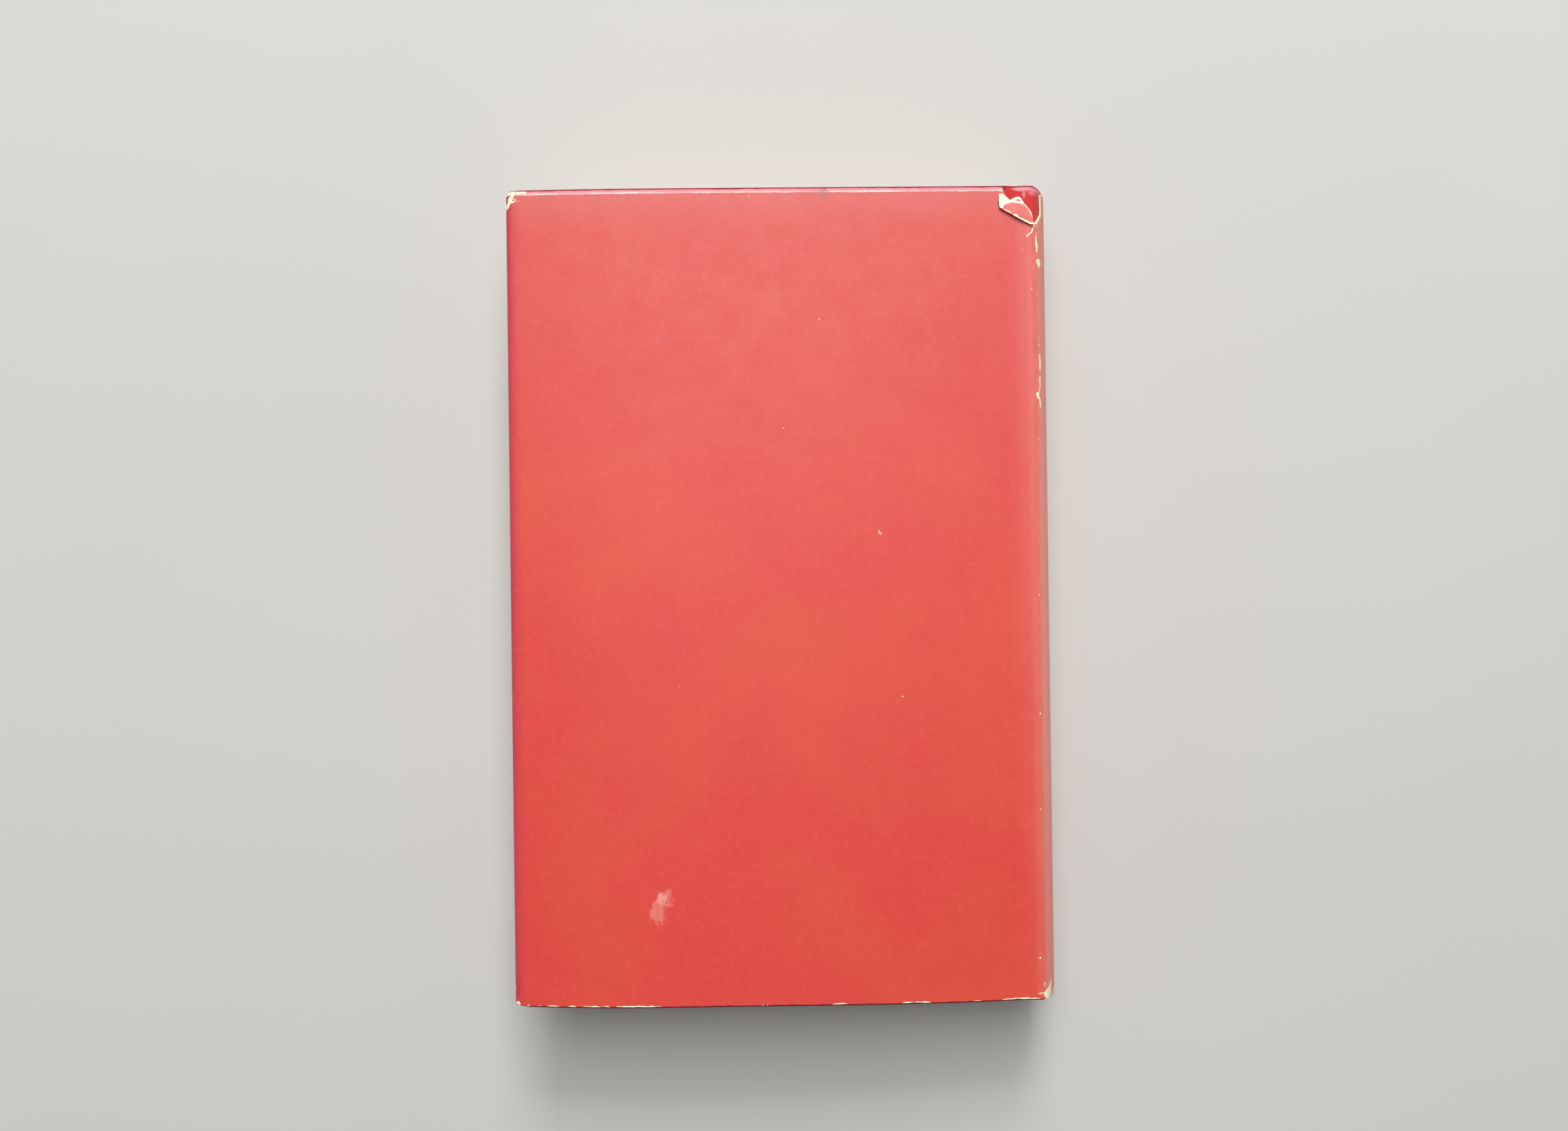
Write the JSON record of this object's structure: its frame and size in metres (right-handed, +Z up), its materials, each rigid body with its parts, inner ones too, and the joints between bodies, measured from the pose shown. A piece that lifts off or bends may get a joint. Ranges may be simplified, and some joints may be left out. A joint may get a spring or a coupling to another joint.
{
  "type": "hardback book",
  "caption": "Closed hardback book in a worn plain paper dust jacket, with a rounded spine, a bowed rear cover and covers that open.",
  "frame": {"origin": "the centre of the overall box, at the surface that the front cover lies on", "axes": "+X towards the spine, +Y towards the head, +Z up through the book, from the front cover to the rear cover"},
  "size_m": [0.146, 0.216, 0.0348],
  "materials": {
    "jacket_paper": "coated, semi-gloss",
    "case_cloth": "fine woven book cloth",
    "page_paper": "uncoated, trimmed",
    "endpaper": "uncoated",
    "binders_board": "grey pulp board",
    "grey_card": "pulp card",
    "kraft_paper": "kraft",
    "mull": "open weave, glued",
    "band_thread": "wound thread on tape"
  },
  "bodies": {
    "book_block": {"text_block": "page_paper", "spine_mull": "mull", "spine_liner": "kraft_paper", "headband": "band_thread", "tailband": "band_thread", "spine_inlay": "grey_card", "spine_cloth": "case_cloth", "front_free_endpaper": "endpaper", "rear_free_endpaper": "endpaper", "jacket_spine": "jacket_paper"},
    "back_cover": {"back_board": "binders_board", "back_cloth": "case_cloth", "rear_pastedown": "endpaper", "jacket_back": "jacket_paper"},
    "front_cover": {"front_board": "binders_board", "front_cloth": "case_cloth", "front_pastedown": "endpaper", "jacket_front": "jacket_paper"}
  },
  "joints": [
    {"name": "back_cover_hinge", "type": "hinge", "parent": "book_block", "child": "back_cover", "pos_m": [0.06202, 0, 0.03056], "axis": [0, 1, 0], "range_deg": [0, 175]},
    {"name": "front_cover_hinge", "type": "hinge", "parent": "book_block", "child": "front_cover", "pos_m": [0.06202, 0, -0.0004], "axis": [0, -1, 0], "range_deg": [0, 175]}
  ]
}
